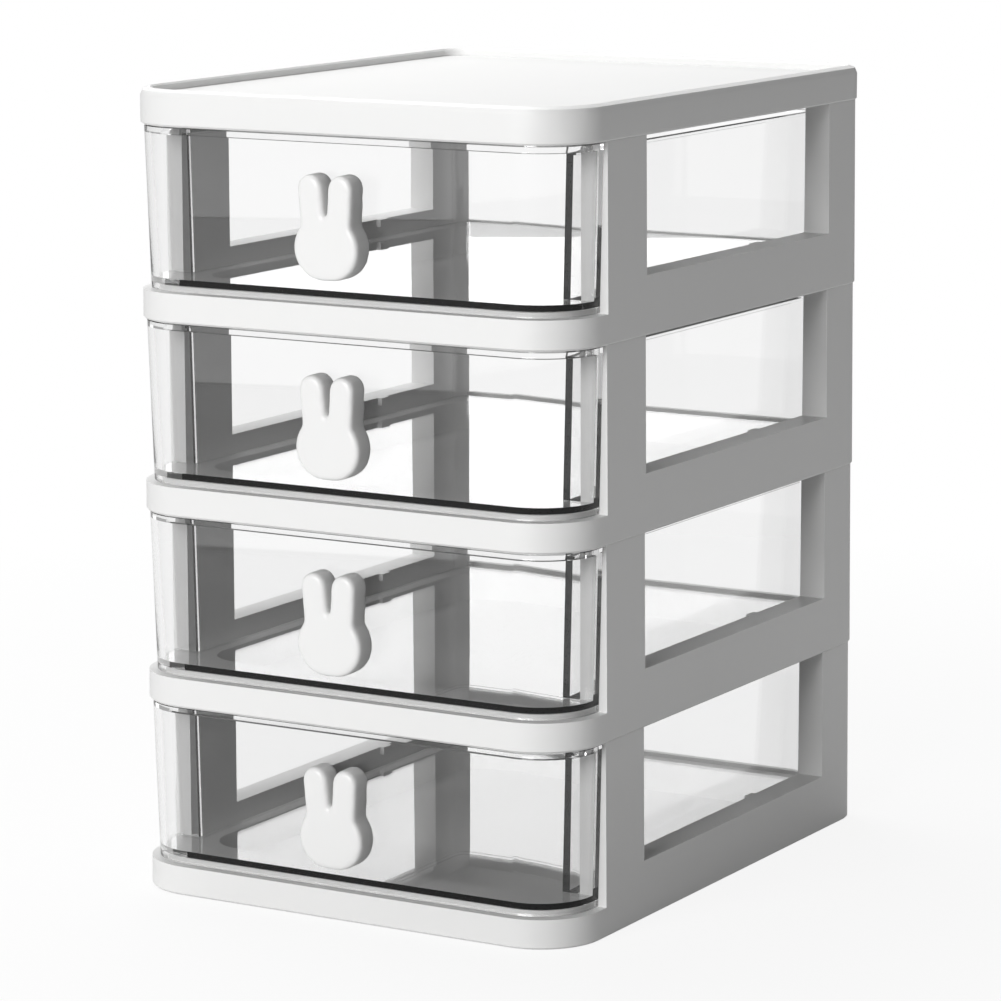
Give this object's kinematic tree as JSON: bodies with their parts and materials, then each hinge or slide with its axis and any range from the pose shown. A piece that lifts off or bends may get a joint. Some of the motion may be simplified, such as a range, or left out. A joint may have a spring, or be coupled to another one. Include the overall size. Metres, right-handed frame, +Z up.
{
  "type": "desktop drawer chest",
  "caption": "Free-standing desktop chest of stacked plastic tiers, each holding a clear slide-out drawer with a rabbit-shaped knob, with open side windows and a tray-like top cover.",
  "frame": {"origin": "centre of the chest's footprint, on the surface it stands on", "axes": "+Z up, drawer fronts towards -Y, +X to the right of someone facing the fronts"},
  "size_m": [0.155, 0.2012, 0.2453],
  "materials": {
    "white_plastic": "glossy",
    "clear_plastic": "clear glossy",
    "knob_plastic": "glossy",
    "steel": "plain"
  },
  "bodies": {
    "cabinet": {"top_cover": "white_plastic", "tier_frame_1": "white_plastic", "tier_frame_2": "white_plastic", "tier_frame_3": "white_plastic", "tier_frame_4": "white_plastic"},
    "top_drawer": {"drawer_1": "clear_plastic", "knob_1": "knob_plastic", "knob_screw_1": "steel"},
    "second_drawer": {"drawer_2": "clear_plastic", "knob_2": "knob_plastic", "knob_screw_2": "steel"},
    "third_drawer": {"drawer_3": "clear_plastic", "knob_3": "knob_plastic", "knob_screw_3": "steel"},
    "bottom_drawer": {"drawer_4": "clear_plastic", "knob_4": "knob_plastic", "knob_screw_4": "steel"}
  },
  "joints": [
    {"name": "top_drawer_slide", "type": "slide", "parent": "cabinet", "child": "top_drawer", "axis": [0, -1, 0], "range_m": [0, 0.125]},
    {"name": "second_drawer_slide", "type": "slide", "parent": "cabinet", "child": "second_drawer", "axis": [0, -1, 0], "range_m": [0, 0.125]},
    {"name": "third_drawer_slide", "type": "slide", "parent": "cabinet", "child": "third_drawer", "axis": [0, -1, 0], "range_m": [0, 0.125]},
    {"name": "bottom_drawer_slide", "type": "slide", "parent": "cabinet", "child": "bottom_drawer", "axis": [0, -1, 0], "range_m": [0, 0.125]}
  ]
}
